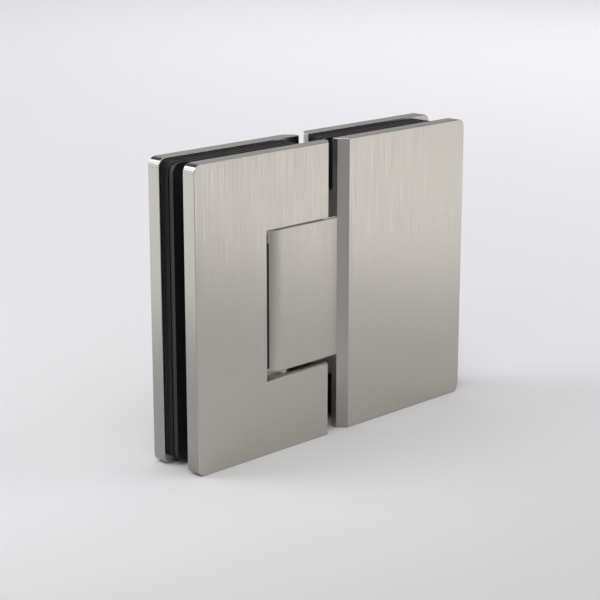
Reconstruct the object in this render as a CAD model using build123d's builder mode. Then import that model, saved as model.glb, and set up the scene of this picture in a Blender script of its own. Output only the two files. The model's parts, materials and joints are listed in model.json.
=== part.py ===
from build123d import *
import os

# Glass door hinge for a frameless shower or room door, glass to glass.
# Two leaves clamp the two panes, and a knuckle on the door leaf turns on a pin in the fixed leaf.
# X runs from the fixed leaf to the door leaf, Y from the front to the rear, Z up.
# The origin is at the middle of the bottom edges, and all sizes are in millimetres.

# Leaves and their cover plates
leaf_width = 55.0
leaf_height = 90.0
leaf_gap = 4.0
plate_thickness = 4.65
plate_spacing = 10.0
corner_radius = 2.7
bevel_width = 2.5
edge_break = 0.2

# Knuckle, its pivot and the notch that it fills
knuckle_thickness = 14.0
knuckle_end_gap = 0.65
knuckle_fillet = 0.8
pivot_setback = 22.5
notch_height = 45.0
notch_end_gap = 2.2
knuckle_block_width = 28.0
knuckle_block_height = 56.3
block_edge_break = 0.5

# Dust strip on the end wall of the notch
liner_thickness = 0.95
liner_height = 37.3
liner_setback = 0.1

# Pivot pin, held in two blocks above and below the notch
pin_diameter = 8.0
pin_seat_depth = 8.5
pin_key_depth = 0.8
pin_detent_depth = 0.4
pin_end_chamfer = 0.5
pin_block_height = 12.0
pin_block_inset = 2.5
pin_seat_clearance = 0.05

# Flanged bushes in the two ends of the knuckle
bush_wall = 1.0
bush_length = 10.0
bush_flange_width = 1.5
bush_seat_clearance = 0.02
pin_running_clearance = 0.03
pin_bore_clearance = 0.25
thrust_clearance = 0.1

# Spring plungers that hold the door shut
plunger_diameter = 6.2
plunger_spacing = 12.0
plunger_nose_chamfer = 0.8
plunger_clearance = 0.1
spigot_length = 3.0
spigot_clearance = 0.1
spring_length = 15.0
spring_turns = 5
spring_wire_width = 1.2
spring_wire_height = 1.1
spring_clearance = 0.3
spring_end_clearance = 0.02
spring_screw_length = 8.0
spring_screw_recess = 0.5
spring_screw_socket = 3.0
spring_screw_socket_depth = 3.0
spring_screw_chamfer = 0.5

# Gaskets, two on each rear plate, stacked with their rebated faces together
gasket_thickness = 1.8
gasket_rebate_depth = 0.25
gasket_rebate_width = 1.2
gasket_side_inset = 2.0
gasket_end_inset = 1.3
gasket_corner_radius = 3.0
gasket_block_clearance = 0.6

# Countersunk clamp screws, from the rear plate into the front plate
screw_diameter = 5.0
screw_head_diameter = 9.2
screw_head_recess = 0.1
screw_seat_clearance = 0.05
screw_hole_clearance = 0.25
screw_thread_clearance = 0.05
screw_thread_reach = 3.2
screw_tip_gap = 0.2
screw_tip_chamfer = 0.4
screw_socket = 3.0
screw_socket_depth = 2.2
fixed_screw_offset = 9.5
door_screw_side_inset = 8.0
door_screw_end_inset = 7.65

# Places that follow from the sizes
mid_z = leaf_height / 2
side_x = leaf_gap / 2
block_y = plate_spacing / 2
outer_y = block_y + plate_thickness
pivot_x = side_x - pivot_setback
knuckle_half = knuckle_thickness / 2
knuckle_height = notch_height - 2 * knuckle_end_gap
notch_wall_x = pivot_x - knuckle_half - notch_end_gap
block_end_x = side_x + knuckle_block_width
pin_radius = pin_diameter / 2
pin_block_half_width = pivot_setback - leaf_gap - pin_block_inset
bush_radius = pin_radius + bush_wall
plunger_radius = plunger_diameter / 2
plunger_bore_radius = plunger_radius + plunger_clearance
plunger_nose_x = pivot_x + pin_radius + plunger_clearance
spring_radius = plunger_bore_radius - spring_clearance
spring_inner_radius = spring_radius - spring_wire_width
spring_screw_x = block_end_x - spring_screw_recess - spring_screw_length
plunger_back_x = spring_screw_x - spring_length
plunger_heights = [mid_z - plunger_spacing / 2, mid_z + plunger_spacing / 2]
screw_radius = screw_diameter / 2
screw_head_radius = screw_head_diameter / 2

fixed_screw_places = [
    (pivot_x + side * fixed_screw_offset, mid_z + end * (notch_height + pin_block_height) / 2)
    for end in (-1, 1)
    for side in (-1, 1)
]
door_screw_places = [
    (x, mid_z + end * (knuckle_block_height / 2 - door_screw_end_inset))
    for end in (-1, 1)
    for x in (side_x + door_screw_side_inset, block_end_x - door_screw_side_inset)
]


def save(part, node):
    """Label one finished piece and write its file."""
    part.label = node
    export_step(part, f"parts/{node}.step")


def facing_y(places, y, direction):
    """Planes at the given X and Z places on the level y that face along +Y or -Y."""
    return [Plane(origin=(x, y, z), z_dir=(0, direction, 0)) for x, z in places]


def cover_plate(leaf, face):
    """One cover plate. leaf is -1 for fixed and 1 for door, face is -1 for front and 1 for rear."""
    end_x = leaf * (side_x + leaf_width)
    with BuildPart() as plate:
        with BuildSketch():
            with BuildLine():
                Polyline(
                    (leaf * side_x, face * block_y),
                    (leaf * side_x, face * knuckle_half),
                    (leaf * (side_x + bevel_width), face * outer_y),
                    (end_x, face * outer_y),
                    (end_x, face * block_y),
                    close=True,
                )
            make_face()
        extrude(amount=leaf_height)
        end_corners = plate.edges().filter_by(Axis.Y).sort_by(lambda edge: leaf * edge.center().X)
        fillet(end_corners[-2:], radius=corner_radius)
        if leaf < 0:
            with BuildSketch(Plane.XZ.offset(outer_y)):
                with Locations((notch_wall_x, mid_z)):
                    Rectangle(-notch_wall_x, notch_height, align=(Align.MIN, Align.CENTER))
            extrude(amount=-2 * outer_y, mode=Mode.SUBTRACT)
        fillet(plate.edges(), radius=edge_break)

        places = fixed_screw_places if leaf < 0 else door_screw_places
        if face < 0:
            with Locations(*facing_y(places, -block_y, 1)):
                Hole(
                    radius=screw_radius + screw_thread_clearance,
                    depth=screw_thread_reach + screw_tip_gap,
                )
        else:
            with Locations(*facing_y(places, outer_y, 1)):
                CounterSinkHole(
                    radius=screw_radius + screw_hole_clearance,
                    counter_sink_radius=screw_head_radius + screw_head_recess + screw_seat_clearance,
                    counter_sink_angle=90,
                )
    return plate.part


def gasket(leaf, layer):
    """One gasket of a leaf. layer 0 lies on the rear plate, and layer 1 lies on it and faces the glass."""
    if leaf < 0:
        block_reach = pin_block_inset + 2 * pin_block_half_width
        block_height = notch_height + 2 * pin_block_height
    else:
        block_reach = knuckle_block_width
        block_height = knuckle_block_height
    centre_x = leaf * (side_x + leaf_width / 2)
    rim_thickness = gasket_thickness - gasket_rebate_depth
    joint_y = block_y - gasket_thickness

    with BuildPart() as sheet:
        for inset, start_y in ((0, joint_y + gasket_rebate_depth), (gasket_rebate_width, joint_y)):
            with BuildSketch(Plane.XZ.offset(-start_y)):
                with Locations((centre_x, mid_z)):
                    RectangleRounded(
                        leaf_width - 2 * (gasket_side_inset + inset),
                        leaf_height - 2 * (gasket_end_inset + inset),
                        gasket_corner_radius - inset,
                    )
                with Locations((leaf * side_x, mid_z)):
                    Rectangle(
                        2 * (block_reach + gasket_block_clearance + inset),
                        block_height + 2 * (gasket_block_clearance + inset),
                        mode=Mode.SUBTRACT,
                    )
            extrude(amount=-(rim_thickness if inset == 0 else gasket_rebate_depth))
        if layer == 1:
            mirror(about=Plane.XZ.offset(-joint_y), mode=Mode.REPLACE)
    return sheet.part


def pin_block(end):
    """Block that holds one end of the pin. end is 1 above the notch and -1 below it."""
    with BuildPart() as block:
        with BuildSketch(Plane.XY.offset(mid_z + end * notch_height / 2)):
            with Locations((pivot_x, 0)):
                Rectangle(2 * pin_block_half_width, plate_spacing)
        extrude(amount=end * pin_block_height)
        chamfer(block.edges().filter_by(Axis.Y), length=block_edge_break)
        with BuildSketch(Plane.XY.offset(mid_z + end * notch_height / 2)):
            with Locations((pivot_x, 0)):
                Circle(pin_radius + pin_seat_clearance)
            with Locations((pivot_x - pin_radius + pin_key_depth - pin_seat_clearance, 0)):
                Rectangle(
                    pin_diameter,
                    2 * pin_diameter,
                    align=(Align.MAX, Align.CENTER),
                    mode=Mode.SUBTRACT,
                )
        extrude(amount=end * (pin_seat_depth + pin_seat_clearance), mode=Mode.SUBTRACT)
        places = [place for place in fixed_screw_places if end * (place[1] - mid_z) > 0]
        with Locations(*facing_y(places, block_y, 1)):
            Hole(radius=screw_radius + screw_hole_clearance)
    return block.part


def flanged_bush(end):
    """Bush with a thrust flange. end is 1 for the knuckle's top and -1 for its bottom."""
    knuckle_end = Plane.XY.offset(mid_z + end * knuckle_height / 2)
    with BuildPart() as bush:
        with BuildSketch(knuckle_end):
            with Locations((pivot_x, 0)):
                Circle(bush_radius + bush_flange_width)
                Circle(pin_radius + pin_running_clearance, mode=Mode.SUBTRACT)
        extrude(amount=end * (knuckle_end_gap - thrust_clearance))
        with BuildSketch(knuckle_end):
            with Locations((pivot_x, 0)):
                Circle(bush_radius)
                Circle(pin_radius + pin_running_clearance, mode=Mode.SUBTRACT)
        extrude(amount=-end * bush_length)
    return bush.part


def plunger(z):
    """Plunger that presses on the pin, with a spigot for its spring."""
    with BuildPart() as body:
        with BuildSketch(Plane(origin=(plunger_nose_x, 0, z), z_dir=(1, 0, 0))):
            Circle(plunger_radius)
        extrude(amount=plunger_back_x - plunger_nose_x)
        chamfer(body.faces().sort_by(Axis.X)[0].edges(), length=plunger_nose_chamfer)
        with BuildSketch(Plane(origin=(plunger_back_x, 0, z), z_dir=(1, 0, 0))):
            Circle(spring_inner_radius - spigot_clearance)
        extrude(amount=spigot_length)
    return body.part


def spring(z):
    """Spring of rectangular wire with closed ends, made as a tube with a helical slot."""
    first_x = plunger_back_x + spring_end_clearance
    tube_length = spring_length - 2 * spring_end_clearance
    slot_width = (tube_length - (spring_turns + 2) * spring_wire_height) / (spring_turns + 1)
    with BuildPart() as coil:
        with BuildSketch(Plane(origin=(first_x, 0, z), z_dir=(1, 0, 0))):
            Circle(spring_radius)
            Circle(spring_inner_radius, mode=Mode.SUBTRACT)
        extrude(amount=tube_length)
        with BuildLine() as slot_line:
            Helix(
                pitch=slot_width + spring_wire_height,
                height=spring_turns * (slot_width + spring_wire_height),
                radius=(spring_radius + spring_inner_radius) / 2,
                center=(first_x + spring_wire_height + slot_width / 2, 0, z),
                direction=(1, 0, 0),
            )
        slot_start = Plane(origin=slot_line.line @ 0, x_dir=(1, 0, 0), z_dir=slot_line.line % 0)
        with BuildSketch(slot_start):
            Rectangle(slot_width, 2 * spring_wire_width)
        sweep(path=slot_line.line, is_frenet=True, mode=Mode.SUBTRACT)
    return coil.part


def spring_screw(z):
    """Socket screw that closes a spring bore and sets the spring's load."""
    with BuildPart() as screw:
        with BuildSketch(Plane(origin=(spring_screw_x, 0, z), z_dir=(1, 0, 0))):
            Circle(plunger_radius + screw_thread_clearance)
        extrude(amount=spring_screw_length)
        chamfer(screw.edges().filter_by(GeomType.CIRCLE), length=spring_screw_chamfer)
        with BuildSketch(Plane(origin=(spring_screw_x + spring_screw_length, 0, z), z_dir=(1, 0, 0))):
            RegularPolygon(spring_screw_socket / 2, 6, major_radius=False)
        extrude(amount=-spring_screw_socket_depth, mode=Mode.SUBTRACT)
    return screw.part


def clamp_screw(x, z):
    """Countersunk socket screw whose head lies flush in the rear plate."""
    head_y = outer_y - screw_head_recess
    tip_y = -block_y - screw_thread_reach
    head_height = screw_head_radius - screw_radius
    with BuildPart() as screw:
        with BuildSketch(Plane(origin=(x, 0, z))):
            with BuildLine():
                Polyline(
                    (0, tip_y),
                    (screw_radius - screw_tip_chamfer, tip_y),
                    (screw_radius, tip_y + screw_tip_chamfer),
                    (screw_radius, head_y - head_height),
                    (screw_head_radius, head_y),
                    (0, head_y),
                    close=True,
                )
            make_face()
        revolve(axis=Axis((x, 0, z), (0, 1, 0)))
        with BuildSketch(Plane(origin=(x, head_y, z), z_dir=(0, 1, 0))):
            RegularPolygon(screw_socket / 2, 6, major_radius=False)
        extrude(amount=-screw_socket_depth, mode=Mode.SUBTRACT)
    return screw.part


os.makedirs("parts", exist_ok=True)

for leaf, leaf_name in ((-1, "fixed"), (1, "door")):
    save(cover_plate(leaf, -1), f"{leaf_name}_front_plate")
    save(cover_plate(leaf, 1), f"{leaf_name}_rear_plate")
    save(gasket(leaf, 0), f"{leaf_name}_inner_gasket")
    save(gasket(leaf, 1), f"{leaf_name}_outer_gasket")

# Strip on the notch's end wall, across both plates and the room between them
with BuildPart() as notch_liner:
    with BuildSketch(Plane.YZ.offset(notch_wall_x)):
        with Locations((0, mid_z)):
            Rectangle(2 * (outer_y - liner_setback), liner_height)
    extrude(amount=liner_thickness)
save(notch_liner.part, "notch_liner")

# Pin with a keying flat at each end and a detent flat that the plungers press on
with BuildPart() as pivot_pin:
    pin_length = notch_height + 2 * pin_seat_depth
    with BuildSketch(Plane.XY.offset(mid_z - pin_length / 2)):
        with Locations((pivot_x, 0)):
            Circle(pin_radius)
    extrude(amount=pin_length)
    chamfer(pivot_pin.edges().filter_by(GeomType.CIRCLE), length=pin_end_chamfer)
    for end in (-1, 1):
        with BuildSketch(Plane.XY.offset(mid_z + end * notch_height / 2)):
            with Locations((pivot_x - pin_radius + pin_key_depth, 0)):
                Rectangle(pin_diameter, 2 * pin_diameter, align=(Align.MAX, Align.CENTER))
        extrude(amount=end * pin_length, mode=Mode.SUBTRACT)
    detent_height = plunger_spacing + plunger_diameter + 2 * plunger_clearance
    with BuildSketch(Plane.XY.offset(mid_z - detent_height / 2)):
        with Locations((pivot_x + pin_radius - pin_detent_depth, 0)):
            Rectangle(pin_diameter, 2 * pin_diameter, align=(Align.MIN, Align.CENTER))
    extrude(amount=detent_height, mode=Mode.SUBTRACT)
save(pivot_pin.part, "pivot_pin")

# Knuckle and the block that the door leaf's plates are screwed to, cast in one piece
with BuildPart() as knuckle_body:
    with BuildSketch(Plane.XY.offset(mid_z - knuckle_height / 2)):
        with Locations((pivot_x, 0)):
            Circle(knuckle_half)
            Rectangle(pivot_setback, knuckle_thickness, align=(Align.MIN, Align.CENTER))
    extrude(amount=knuckle_height)
    for end_face in knuckle_body.faces().filter_by(Axis.Z).sort_by(Axis.Z):
        fillet(end_face.edges().sort_by(Axis.X)[:-1], radius=knuckle_fillet)

    with BuildSketch(Plane.XY.offset(mid_z - knuckle_block_height / 2)):
        with Locations((side_x, 0)):
            Rectangle(knuckle_block_width, plate_spacing, align=(Align.MIN, Align.CENTER))
    extrude(amount=knuckle_block_height)
    block_end_face = knuckle_body.faces().filter_by(Axis.X).sort_by(Axis.X)[-1]
    chamfer(block_end_face.edges().filter_by(Axis.Y), length=block_edge_break)

    with Locations(
        Plane(origin=(pivot_x, 0, mid_z + knuckle_height / 2), z_dir=(0, 0, 1)),
        Plane(origin=(pivot_x, 0, mid_z - knuckle_height / 2), z_dir=(0, 0, -1)),
    ):
        CounterBoreHole(
            radius=pin_radius + pin_bore_clearance,
            counter_bore_radius=bush_radius + bush_seat_clearance,
            counter_bore_depth=bush_length + bush_seat_clearance,
            depth=knuckle_height / 2,
        )
    with Locations(*[Plane(origin=(block_end_x, 0, z), z_dir=(1, 0, 0)) for z in plunger_heights]):
        Hole(radius=plunger_bore_radius, depth=block_end_x - pivot_x)
    with Locations(*facing_y(door_screw_places, block_y, 1)):
        Hole(radius=screw_radius + screw_hole_clearance, depth=plate_spacing)
save(knuckle_body.part, "knuckle_body")

for end, end_name in ((-1, "lower"), (1, "upper")):
    save(pin_block(end), f"{end_name}_pin_block")
    save(flanged_bush(end), f"{end_name}_bush")
for z, end_name in zip(plunger_heights, ("lower", "upper")):
    save(plunger(z), f"{end_name}_plunger")
    save(spring(z), f"{end_name}_spring")
    save(spring_screw(z), f"{end_name}_spring_screw")

for leaf_name, places in (("fixed", fixed_screw_places), ("door", door_screw_places)):
    for number, (x, z) in enumerate(places, start=1):
        save(clamp_screw(x, z), f"{leaf_name}_clamp_screw_{number}")
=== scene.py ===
import json
import math

import bpy
from mathutils import Euler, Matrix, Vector


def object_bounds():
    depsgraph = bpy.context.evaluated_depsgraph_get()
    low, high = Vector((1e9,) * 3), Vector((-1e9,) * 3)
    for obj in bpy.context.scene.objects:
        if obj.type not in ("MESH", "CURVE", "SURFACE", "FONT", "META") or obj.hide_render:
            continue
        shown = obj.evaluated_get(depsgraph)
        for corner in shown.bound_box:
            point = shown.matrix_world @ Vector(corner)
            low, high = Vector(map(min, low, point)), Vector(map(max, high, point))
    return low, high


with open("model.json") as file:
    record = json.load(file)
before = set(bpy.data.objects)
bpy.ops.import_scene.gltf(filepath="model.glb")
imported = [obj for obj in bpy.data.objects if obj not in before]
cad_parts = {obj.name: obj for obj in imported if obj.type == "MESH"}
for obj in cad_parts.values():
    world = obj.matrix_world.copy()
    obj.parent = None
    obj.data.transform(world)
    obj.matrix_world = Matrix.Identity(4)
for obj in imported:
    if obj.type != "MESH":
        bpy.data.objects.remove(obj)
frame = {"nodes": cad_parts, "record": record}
cad_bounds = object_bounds()

# Camera, from the fit to the photograph's straight edges, in metres and degrees
CAMERA_PLACE = (-0.36421, -0.35691, 0.17584)
CAMERA_AZIMUTH = -45.053
CAMERA_ELEVATION = 14.943
CAMERA_REACH = (0.01, 100.0)
SENSOR_WIDTH_MM = 36.0
FOCAL_PIXELS = 1735.0
IMAGE_PIXELS = 600

# Nickel: brushed on the broad faces farther than this from the hinge's middle plane, in metres,
# and smooth on edges, bevels and inner faces, whose darker colour is painted shade. Roughness runs from
# the dark to the light grain.
BRUSHED_FROM = 0.006
BRUSHED_DARK = (0.508, 0.481, 0.440)
BRUSHED_LIGHT = (0.598, 0.567, 0.520)
BRUSHED_ROUGHNESS = (0.35, 0.27)
EDGE_DARK_PAINTED_SHADE = (0.320, 0.311, 0.292)
EDGE_LIGHT_PAINTED_SHADE = (0.425, 0.413, 0.388)
EDGE_ROUGHNESS = (0.15, 0.13)
NICKEL_ANISOTROPY = 0.9
NICKEL_RELIEF = 0.1

# Share of a normal along its axis, between which a face comes to count as broad, or as square-on
BROAD_NORMAL = (0.80, 0.995)
SQUARE_NORMAL = (0.98, 0.999)

# Noise scales per metre along X, Y and Z: brushing stretched upright, and grain on top faces
COARSE_BRUSHING = (2400.0, 2400.0, 40.0)
FINE_BRUSHING = (6500.0, 6500.0, 120.0)
COARSE_SHARE = 0.55
TOP_GRAIN = (50.0, 1400.0, 50.0)

# Streaks fade from the top down and from the fixed leaf to the door leaf's end, as a painted highlight on
# the real grain: metres, and depth
STREAK_HEIGHTS = (0.040, 0.088)
HEIGHT_DEPTHS = (0.12, 1.0)
STREAK_SIDES = (-0.010, 0.055)
SIDE_DEPTHS = (1.0, 0.3)

# Milled faces between the parts are duller: in the notch, which is painted paler too as painted light, and
# in the gap between the leaves. Each reaches this far from the hinge's middle, up and down or to either
# side, in metres.
MILLED_ROUGHNESS = 0.34
NOTCH_PAINTED_LIGHT_COLOUR = (0.62, 0.60, 0.56)
MIDDLE_HEIGHT = (cad_bounds[0][2] + cad_bounds[1][2]) / 2.0
NOTCH_REACH = 0.030
GAP_REACH = 0.0032

# Plain steels: dark and light colour, noise scale per metre along X, Y and Z, and roughness
STEELS = {
    "machined_steel": ((0.43, 0.43, 0.435), (0.49, 0.49, 0.495), (200.0, 200.0, 2500.0), (0.26, 0.32)),
    "screw_steel": ((0.47, 0.465, 0.455), (0.52, 0.515, 0.505), (4000.0, 400.0, 4000.0), (0.24, 0.30)),
    "spring_steel": ((0.25, 0.25, 0.26), (0.36, 0.36, 0.37), (2500.0, 2500.0, 2500.0), (0.25, 0.35)),
    "bush_steel": ((0.54, 0.52, 0.48), (0.62, 0.60, 0.55), (300.0, 300.0, 3000.0), (0.20, 0.28)),
}

# Black rubbers: dark and light colour, roughness, and specular level
RUBBERS = {
    "gasket_rubber": ((0.005, 0.0055, 0.0065), (0.010, 0.0105, 0.012), (0.42, 0.52), 0.45),
    "liner_rubber": ((0.008, 0.008, 0.009), (0.013, 0.013, 0.014), (0.5, 0.6), 0.35),
}
RUBBER_MOTTLE = (600.0, 600.0, 600.0)
RUBBER_RELIEF = 0.15

# Noise runs from dark to light between these values, about its mean; relief is this deep, in metres
NOISE_SPREAD = (0.3, 0.7)
NOISE_MEAN = 0.5
RELIEF_DEPTH = 0.00002

# Camera's line over the floor, the line across it to the right, and the line straight up
DEPTH_LINE = (math.sqrt(0.5), math.sqrt(0.5), 0.0)
RIGHT_LINE = (math.sqrt(0.5), -math.sqrt(0.5), 0.0)
UP_LINE = (0.0, 0.0, 1.0)

# Studio walls: bright on the left, brightest low down there, and dark on the right and higher up.
# Sides and edges are shares of the direction's length to the left and upward.
WALL_COLOUR = (1.0, 0.995, 0.985, 1.0)
WALL_MIDDLE = 0.50
WALL_SLOPE = -0.40
WALL_HIGH = 0.12
WALL_EDGE = (0.45, 0.62)
WALL_GLOW = 1.2
GLOW_SIDE = (0.30, 0.90)
GLOW_EDGE = (0.05, 0.18)

# Lamps: place and target in metres, width and height, and brightness, where 1 shows as white
LAMPS = {
    "key": ((-0.60, -0.60, 1.50), (0.0, 0.0, 0.0), 1.4, 1.4, 2.4),
    "overhead": ((0.25, 0.25, 1.60), (0.0, 0.0, 0.0), 1.2, 1.2, 2.2),
    "left_fill": ((-0.44, 0.44, 0.60), (-0.44, 0.44, 0.0), 0.5, 0.5, 3.2),
    "right_fill": ((0.44, -0.44, 0.60), (0.44, -0.44, 0.0), 0.5, 0.5, 2.4),
    "backdrop_light": ((0.50, 0.50, 1.50), (2.50, 2.50, 0.30), 2.0, 1.0, 2.7),
    "front_light": ((-3.20, -3.20, 2.00), (-3.20, -3.20, 0.0), 3.0, 3.0, 0.5),
    "left_bounce": ((-1.20, 1.20, 0.60), (-1.20, 1.20, 0.0), 0.9, 0.9, 1.4),
    "left_light": ((-2.80, 2.80, 2.20), (-2.80, 2.80, 0.0), 3.5, 3.5, 1.0),
    "right_light": ((2.80, -2.80, 2.20), (2.80, -2.80, 0.0), 3.5, 3.5, 0.4),
}

# Floor: its colours, which paint light and shade on it, and the metres over which each takes over from the
# one before
FLOOR_RADIUS = 8.0
FLOOR_CORNERS = 96
FLOOR_ROUGHNESS = 0.9
FLOOR_LEFT = (0.59, 0.59, 0.605)
FLOOR_RIGHT = (0.575, 0.575, 0.59)
FLOOR_BEHIND_PAINTED_LIGHT = (0.86, 0.86, 0.88)
FLOOR_AHEAD_PAINTED_SHADE = (0.485, 0.485, 0.49)
FLOOR_SIDES_PAINTED_LIGHT = (0.95, 0.95, 0.95)
RIGHT_RANGE = (-0.10, 0.14)
BEHIND_RANGE = (0.0, 1.6)
AHEAD_RANGE = (0.02, 0.16)
AHEAD_LEAN = 0.5
SIDES_RANGE = (0.08, 0.25)


def feed(tree, socket, value):
    """Link a socket to an input, or set the input to a plain number or triple; None leaves it."""
    if isinstance(value, (int, float, tuple)):
        socket.default_value = value
    elif value is not None:
        tree.links.new(value, socket)


def math_node(tree, operation, first, second=None, third=None):
    """A Math node fed by sockets or plain numbers; returns its output socket."""
    node = tree.nodes.new("ShaderNodeMath")
    node.operation = operation
    for place, value in enumerate((first, second, third)):
        feed(tree, node.inputs[place], value)
    return node.outputs[0]


def absolute(tree, value):
    """A value without its sign."""
    return math_node(tree, "ABSOLUTE", value)


def vector_node(tree, operation, first, second=None):
    """A Vector Math node fed by sockets or plain triples; returns the node."""
    node = tree.nodes.new("ShaderNodeVectorMath")
    node.operation = operation
    for place, value in enumerate((first, second)):
        feed(tree, node.inputs[place], value)
    return node


def distance_along(tree, place, line):
    """How far a place or a direction reaches along a line; returns a socket."""
    return vector_node(tree, "DOT_PRODUCT", place, line).outputs["Value"]


def split_vector(tree, vector):
    """The three parts of a vector, as sockets."""
    node = tree.nodes.new("ShaderNodeSeparateXYZ")
    tree.links.new(vector, node.inputs["Vector"])
    return node.outputs["X"], node.outputs["Y"], node.outputs["Z"]


def change_space(tree, vector, kind, start, end):
    """A vector or a normal carried from one space, such as WORLD, to another; returns a socket."""
    node = tree.nodes.new("ShaderNodeVectorTransform")
    node.vector_type = kind
    node.convert_from = start
    node.convert_to = end
    tree.links.new(vector, node.inputs["Vector"])
    return node.outputs["Vector"]


def mix_values(tree, factor, first, second):
    """A mix of two numbers, each a socket or plain; factor is a socket."""
    node = tree.nodes.new("ShaderNodeMix")
    tree.links.new(factor, node.inputs["Factor"])
    feed(tree, node.inputs["A"], first)
    feed(tree, node.inputs["B"], second)
    return node.outputs["Result"]


def mix_colour(tree, factor, first, second):
    """A colour mix; factor is a socket, and the two colours are sockets or plain triples."""
    node = tree.nodes.new("ShaderNodeMix")
    node.data_type = "RGBA"
    tree.links.new(factor, node.inputs["Factor"])
    for name, value in (("A", first), ("B", second)):
        socket = [s for s in node.inputs if s.name == name and s.type == "RGBA"][0]
        feed(tree, socket, (*value, 1.0) if isinstance(value, tuple) else value)
    return [s for s in node.outputs if s.type == "RGBA"][0]


def smooth_range(tree, value, limits, results=(0.0, 1.0)):
    """A smooth ramp of value, from limits to results."""
    node = tree.nodes.new("ShaderNodeMapRange")
    node.interpolation_type = "SMOOTHSTEP"
    tree.links.new(value, node.inputs["Value"])
    node.inputs["From Min"].default_value, node.inputs["From Max"].default_value = limits
    node.inputs["To Min"].default_value, node.inputs["To Max"].default_value = results
    return node.outputs["Result"]


def stretched_noise(tree, place, scale, detail):
    """Noise over coordinates that are stretched by scale, per metre along X, Y and Z."""
    mapping = tree.nodes.new("ShaderNodeMapping")
    mapping.inputs["Scale"].default_value = scale
    tree.links.new(place, mapping.inputs["Vector"])
    noise = tree.nodes.new("ShaderNodeTexNoise")
    noise.inputs["Scale"].default_value = 1.0
    noise.inputs["Detail"].default_value = detail
    tree.links.new(mapping.outputs["Vector"], noise.inputs["Vector"])
    return noise.outputs["Fac"]


def add_relief(tree, shader, height, strength):
    """A faint bump on the shader's normal; height is a socket."""
    bump = tree.nodes.new("ShaderNodeBump")
    bump.inputs["Strength"].default_value = strength
    bump.inputs["Distance"].default_value = RELIEF_DEPTH
    tree.links.new(height, bump.inputs["Height"])
    tree.links.new(bump.outputs["Normal"], shader.inputs["Normal"])


def new_material(name):
    """A material with an empty tree, its Principled shader and the object's coordinates."""
    material = bpy.data.materials.new(name)
    material.use_nodes = True
    tree = material.node_tree
    tree.nodes.clear()
    output = tree.nodes.new("ShaderNodeOutputMaterial")
    shader = tree.nodes.new("ShaderNodeBsdfPrincipled")
    tree.links.new(shader.outputs["BSDF"], output.inputs["Surface"])
    place = tree.nodes.new("ShaderNodeTexCoord").outputs["Object"]
    return material, tree, shader, place


def nickel_faces(tree, place, normal):
    """Masks of the nickel's faces: broad and brushed, upward or downward, in the notch, in the gap."""
    place_x, place_y, place_z = split_vector(tree, place)
    normal_x, normal_y, normal_z = split_vector(tree, normal)
    flat = smooth_range(tree, absolute(tree, normal_y), BROAD_NORMAL)
    outside = math_node(tree, "GREATER_THAN", absolute(tree, place_y), BRUSHED_FROM)
    broad = math_node(tree, "MULTIPLY", flat, outside)
    upward = smooth_range(tree, absolute(tree, normal_z), SQUARE_NORMAL)
    from_middle = absolute(tree, math_node(tree, "SUBTRACT", place_z, MIDDLE_HEIGHT))
    near_notch = math_node(tree, "LESS_THAN", from_middle, NOTCH_REACH)
    in_notch = math_node(tree, "MULTIPLY", upward, near_notch)
    endward = smooth_range(tree, absolute(tree, normal_x), SQUARE_NORMAL)
    near_gap = math_node(tree, "LESS_THAN", absolute(tree, place_x), GAP_REACH)
    in_gap = math_node(tree, "MULTIPLY", endward, near_gap)
    return broad, upward, in_notch, in_gap


def nickel_streaks(tree, place):
    """The brushing's noise, and the same noise faded downward and to the right as a painted highlight."""
    coarse = stretched_noise(tree, place, COARSE_BRUSHING, detail=3.0)
    fine = stretched_noise(tree, place, FINE_BRUSHING, detail=2.0)
    fine_part = math_node(tree, "MULTIPLY", fine, 1.0 - COARSE_SHARE)
    streak = math_node(tree, "MULTIPLY_ADD", coarse, COARSE_SHARE, fine_part)
    place_x, _, place_z = split_vector(tree, place)
    # The streaks' depth fades from the top down and to the right: a painted highlight on the real grain.
    by_height = smooth_range(tree, place_z, STREAK_HEIGHTS, HEIGHT_DEPTHS)
    by_side = smooth_range(tree, place_x, STREAK_SIDES, SIDE_DEPTHS)
    depth = math_node(tree, "MULTIPLY", by_height, by_side)
    from_mean = math_node(tree, "SUBTRACT", streak, NOISE_MEAN)
    return streak, math_node(tree, "MULTIPLY_ADD", from_mean, depth, NOISE_MEAN)


def nickel_top_grain(tree, place, upward):
    """A grain that runs along the top and bottom faces, and plain mean noise elsewhere."""
    noise = stretched_noise(tree, place, TOP_GRAIN, detail=2.0)
    from_mean = math_node(tree, "SUBTRACT", noise, NOISE_MEAN)
    return math_node(tree, "MULTIPLY_ADD", from_mean, upward, NOISE_MEAN)


def nickel_tangent(tree, normal):
    """The level direction along each face, in world space; the highlight stretches along it."""
    across = vector_node(tree, "CROSS_PRODUCT", UP_LINE, normal)
    never_zero = vector_node(tree, "ADD", across.outputs["Vector"], (0.001, 0.0, 0.0))
    tangent = vector_node(tree, "NORMALIZE", never_zero.outputs["Vector"])
    return change_space(tree, tangent.outputs["Vector"], "VECTOR", "OBJECT", "WORLD")


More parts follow.
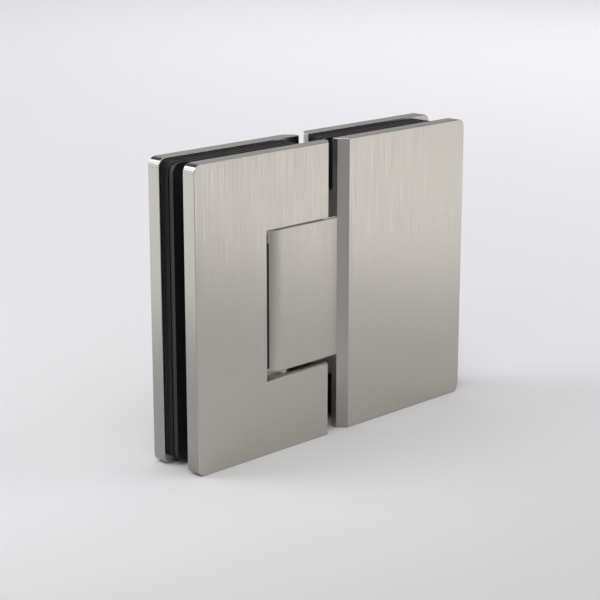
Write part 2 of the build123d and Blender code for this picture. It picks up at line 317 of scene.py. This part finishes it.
def brushed_nickel():
    """Nickel plate: upright brushing on the broad faces, with streaks faded as a painted highlight; smooth
    edges, bevels and inner faces painted darker as painted shade; and a notch painted paler as painted
    light.
    """
    material, tree, shader, place = new_material("brushed_nickel_finish")
    world_normal = tree.nodes.new("ShaderNodeNewGeometry").outputs["Normal"]
    normal = change_space(tree, world_normal, "NORMAL", "WORLD", "OBJECT")
    broad, upward, in_notch, in_gap = nickel_faces(tree, place, normal)
    streak, streak_with_painted_highlight = nickel_streaks(tree, place)
    top_grain = nickel_top_grain(tree, place, upward)

    # Edges, bevels and inner faces get a darker nickel colour than the broad faces: painted shade.
    dark = mix_colour(tree, broad, EDGE_DARK_PAINTED_SHADE, BRUSHED_DARK)
    light = mix_colour(tree, broad, EDGE_LIGHT_PAINTED_SHADE, BRUSHED_LIGHT)
    grain = smooth_range(tree, mix_values(tree, broad, top_grain, streak_with_painted_highlight), NOISE_SPREAD)
    plated = mix_colour(tree, grain, dark, light)
    # The notch's paler colour is painted light.
    tree.links.new(mix_colour(tree, in_notch, plated, NOTCH_PAINTED_LIGHT_COLOUR), shader.inputs["Base Color"])

    milled = math_node(tree, "MAXIMUM", in_notch, in_gap)
    edge_rough = smooth_range(tree, top_grain, NOISE_SPREAD, EDGE_ROUGHNESS)
    inner_rough = mix_values(tree, milled, edge_rough, MILLED_ROUGHNESS)
    broad_rough = smooth_range(tree, streak, NOISE_SPREAD, BRUSHED_ROUGHNESS)
    tree.links.new(mix_values(tree, broad, inner_rough, broad_rough), shader.inputs["Roughness"])

    add_relief(tree, shader, math_node(tree, "MULTIPLY", streak, broad), NICKEL_RELIEF)
    tree.links.new(nickel_tangent(tree, normal), shader.inputs["Tangent"])
    shader.inputs["Metallic"].default_value = 1.0
    shader.inputs["Anisotropic"].default_value = NICKEL_ANISOTROPY
    return material


def add_grain(tree, shader, noise, dark, light, roughness):
    """Colour and roughness that follow a noise from its dark to its light end."""
    level = smooth_range(tree, noise, NOISE_SPREAD)
    tree.links.new(mix_colour(tree, level, dark, light), shader.inputs["Base Color"])
    tree.links.new(smooth_range(tree, noise, NOISE_SPREAD, roughness), shader.inputs["Roughness"])


def plain_steel(name, dark, light, grain, roughness):
    """Turned or drawn steel with a fine grain."""
    material, tree, shader, place = new_material(name)
    noise = stretched_noise(tree, place, grain, detail=3.0)
    add_grain(tree, shader, noise, dark, light, roughness)
    shader.inputs["Metallic"].default_value = 1.0
    return material


def soft_black(name, dark, light, roughness, specular):
    """Rubber with a faint moulded mottle."""
    material, tree, shader, place = new_material(name)
    noise = stretched_noise(tree, place, RUBBER_MOTTLE, detail=3.0)
    add_grain(tree, shader, noise, dark, light, roughness)
    add_relief(tree, shader, noise, RUBBER_RELIEF)
    shader.inputs["Specular IOR Level"].default_value = specular
    return material


def dress_nodes():
    """Give every CAD node the finish of its material slot."""
    finishes = {"brushed_nickel": brushed_nickel()}
    for slot, settings in STEELS.items():
        finishes[slot] = plain_steel(f"{slot}_finish", *settings)
    for slot, settings in RUBBERS.items():
        finishes[slot] = soft_black(f"{slot}_finish", *settings)
    slots = {part["node"]: part["material_slot"] for part in frame["record"]["subparts"]}
    for name, node in frame["nodes"].items():
        node.data.materials.clear()
        node.data.materials.append(finishes[slots[name]])


def add_camera():
    """The camera of the photograph."""
    data = bpy.data.cameras.new("camera")
    data.sensor_width = SENSOR_WIDTH_MM
    data.lens = FOCAL_PIXELS / IMAGE_PIXELS * SENSOR_WIDTH_MM
    data.clip_start, data.clip_end = CAMERA_REACH
    camera = bpy.data.objects.new("camera", data)
    camera.location = CAMERA_PLACE
    camera.rotation_euler = Euler(
        (math.radians(90.0 - CAMERA_ELEVATION), 0.0, math.radians(CAMERA_AZIMUTH)), "XYZ"
    )
    bpy.context.scene.collection.objects.link(camera)
    bpy.context.scene.camera = camera


def add_walls():
    """The world as a soft studio: its brightness changes with the direction across and upward."""
    world = bpy.data.worlds.new("studio")
    bpy.context.scene.world = world
    world.use_nodes = True
    tree = world.node_tree
    tree.nodes.clear()
    output = tree.nodes.new("ShaderNodeOutputWorld")
    background = tree.nodes.new("ShaderNodeBackground")
    tree.links.new(background.outputs["Background"], output.inputs["Surface"])
    direction = tree.nodes.new("ShaderNodeTexCoord").outputs["Generated"]
    side = distance_along(tree, direction, RIGHT_LINE)
    up = distance_along(tree, direction, UP_LINE)

    low_level = math_node(tree, "MULTIPLY_ADD", side, WALL_SLOPE, WALL_MIDDLE)
    low_share = smooth_range(tree, up, WALL_EDGE, (1.0, 0.0))
    above_high = math_node(tree, "SUBTRACT", low_level, WALL_HIGH)
    walls = math_node(tree, "MULTIPLY_ADD", above_high, low_share, WALL_HIGH)
    leftward = smooth_range(tree, math_node(tree, "MULTIPLY", side, -1.0), GLOW_SIDE)
    glow = math_node(tree, "MULTIPLY", leftward, smooth_range(tree, up, GLOW_EDGE, (WALL_GLOW, 0.0)))
    tree.links.new(math_node(tree, "ADD", walls, glow), background.inputs["Strength"])
    background.inputs["Color"].default_value = WALL_COLOUR


def add_lamp(name, place, target, width, height, brightness):
    """An area lamp at a place, turned to a target, that lights and reflects but isn't seen itself."""
    data = bpy.data.lights.new(name, "AREA")
    data.shape = "RECTANGLE"
    data.size = width
    data.size_y = height
    data.energy = brightness * math.pi * width * height
    lamp = bpy.data.objects.new(name, data)
    lamp.location = place
    lamp.rotation_euler = (Vector(target) - Vector(place)).to_track_quat("-Z", "Y").to_euler()
    lamp.visible_camera = False
    bpy.context.scene.collection.objects.link(lamp)


def add_floor():
    """A large pale disc, painted darker towards the camera and on the right as painted shade, and paler
    behind and far to the sides as painted light.
    """
    bpy.ops.mesh.primitive_circle_add(
        vertices=FLOOR_CORNERS, radius=FLOOR_RADIUS, fill_type="NGON", location=(0.0, 0.0, 0.0)
    )
    floor = bpy.context.active_object
    floor.name = "floor"
    material, tree, shader, place = new_material("pale_floor")
    depth = distance_along(tree, place, DEPTH_LINE)
    right = distance_along(tree, place, RIGHT_LINE)
    behind = math_node(tree, "ADD", depth, right)
    ahead = math_node(tree, "SUBTRACT", math_node(tree, "MULTIPLY", right, AHEAD_LEAN), depth)
    beside = math_node(tree, "SUBTRACT", absolute(tree, right), absolute(tree, depth))

    # Painted shade and light on the floor: darker ahead and on the right, paler behind and to the sides.
    colour = mix_colour(tree, smooth_range(tree, right, RIGHT_RANGE), FLOOR_LEFT, FLOOR_RIGHT)
    colour = mix_colour(tree, smooth_range(tree, behind, BEHIND_RANGE), colour, FLOOR_BEHIND_PAINTED_LIGHT)
    colour = mix_colour(tree, smooth_range(tree, ahead, AHEAD_RANGE), colour, FLOOR_AHEAD_PAINTED_SHADE)
    colour = mix_colour(tree, smooth_range(tree, beside, SIDES_RANGE), colour, FLOOR_SIDES_PAINTED_LIGHT)
    tree.links.new(colour, shader.inputs["Base Color"])
    shader.inputs["Roughness"].default_value = FLOOR_ROUGHNESS
    shader.inputs["Specular IOR Level"].default_value = 0.0
    floor.data.materials.append(material)


bpy.context.scene.view_settings.view_transform = "Standard"
add_camera()
dress_nodes()
add_walls()
for name, settings in LAMPS.items():
    add_lamp(name, *settings)
add_floor()
